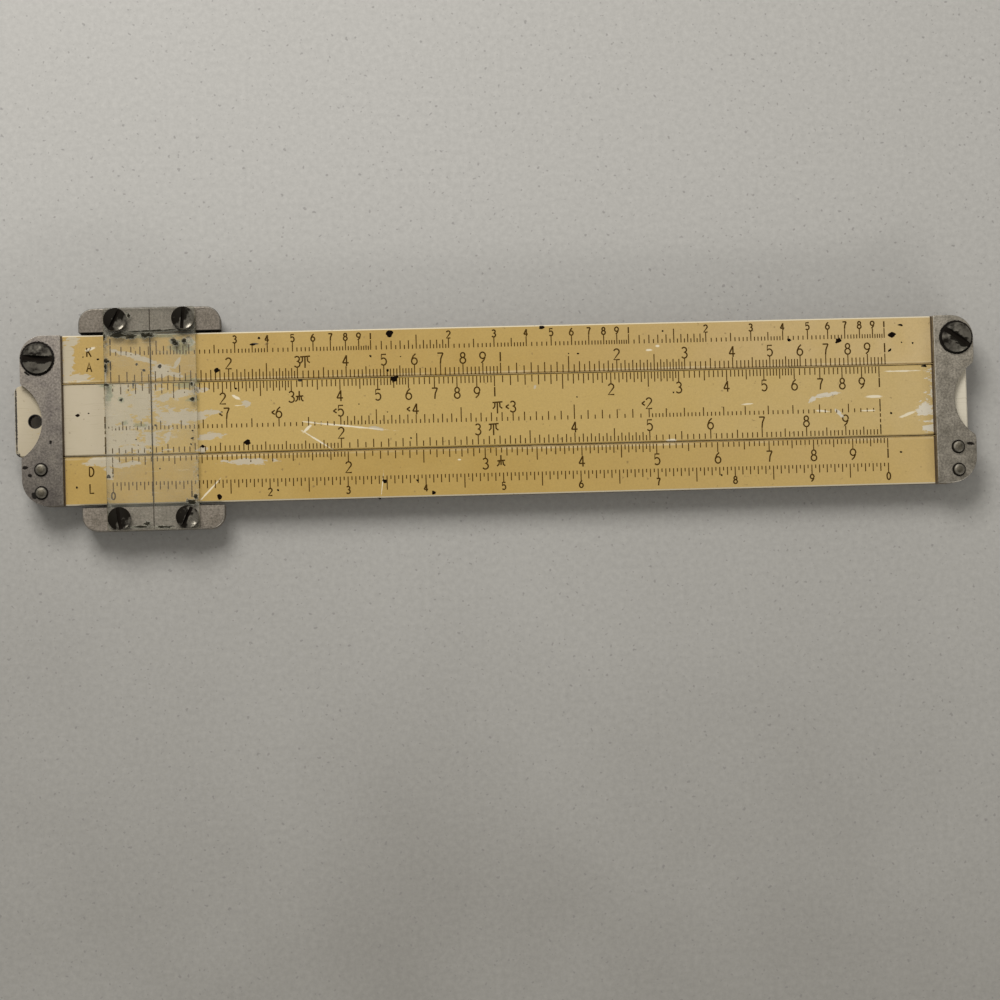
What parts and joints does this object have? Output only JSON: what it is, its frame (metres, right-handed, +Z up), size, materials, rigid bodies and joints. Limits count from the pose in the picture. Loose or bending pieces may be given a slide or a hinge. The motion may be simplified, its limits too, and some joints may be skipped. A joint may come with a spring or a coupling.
{
  "type": "slide rule",
  "caption": "Pocket duplex slide rule: grooved yellow metal stators between end brackets, tongued slide, and a two-window cursor that runs along it.",
  "frame": {"origin": "centre of the rule's outline seen from above, on the plane of the rear screw heads that it lies on", "axes": "+X along the rule towards its right end, +Y towards the upper stator, +Z up out of the front face"},
  "size_m": [0.1546, 0.0358, 0.0084],
  "materials": {
    "stator_enamel": "satin",
    "slide_enamel": "satin",
    "bracket_metal": "satin",
    "cursor_metal": "satin",
    "screw_steel": "satin",
    "rivet_metal": "satin",
    "clear_plastic": "gloss",
    "spring_bronze": "satin"
  },
  "bodies": {
    "rule": {"upper_stator": "stator_enamel", "lower_stator": "stator_enamel", "left_front_bracket": "bracket_metal", "left_rear_bracket": "bracket_metal", "left_bracket_screw": "screw_steel", "left_bracket_nut": "screw_steel", "left_outer_rivet": "rivet_metal", "left_inner_rivet": "rivet_metal", "right_front_bracket": "bracket_metal", "right_rear_bracket": "bracket_metal", "right_bracket_screw": "screw_steel", "right_bracket_nut": "screw_steel", "right_outer_rivet": "rivet_metal", "right_inner_rivet": "rivet_metal"},
    "slide": {"slide": "slide_enamel"},
    "cursor": {"cursor_upper_bar": "cursor_metal", "cursor_lower_bar": "cursor_metal", "cursor_leaf_spring": "spring_bronze", "cursor_front_window": "clear_plastic", "cursor_rear_window": "clear_plastic", "cursor_front_screw_left_upper": "screw_steel", "cursor_front_screw_left_lower": "screw_steel", "cursor_front_screw_right_upper": "screw_steel", "cursor_front_screw_right_lower": "screw_steel", "cursor_rear_screw_left_upper": "screw_steel", "cursor_rear_screw_left_lower": "screw_steel", "cursor_rear_screw_right_upper": "screw_steel", "cursor_rear_screw_right_lower": "screw_steel"}
  },
  "joints": [
    {"name": "slide_travel", "type": "slide", "parent": "rule", "child": "slide", "axis": [1, 0, 0], "range_m": [-0.12395, 0.12605]},
    {"name": "cursor_travel", "type": "slide", "parent": "rule", "child": "cursor", "axis": [1, 0, 0], "range_m": [-0.00653, 0.11877]}
  ]
}
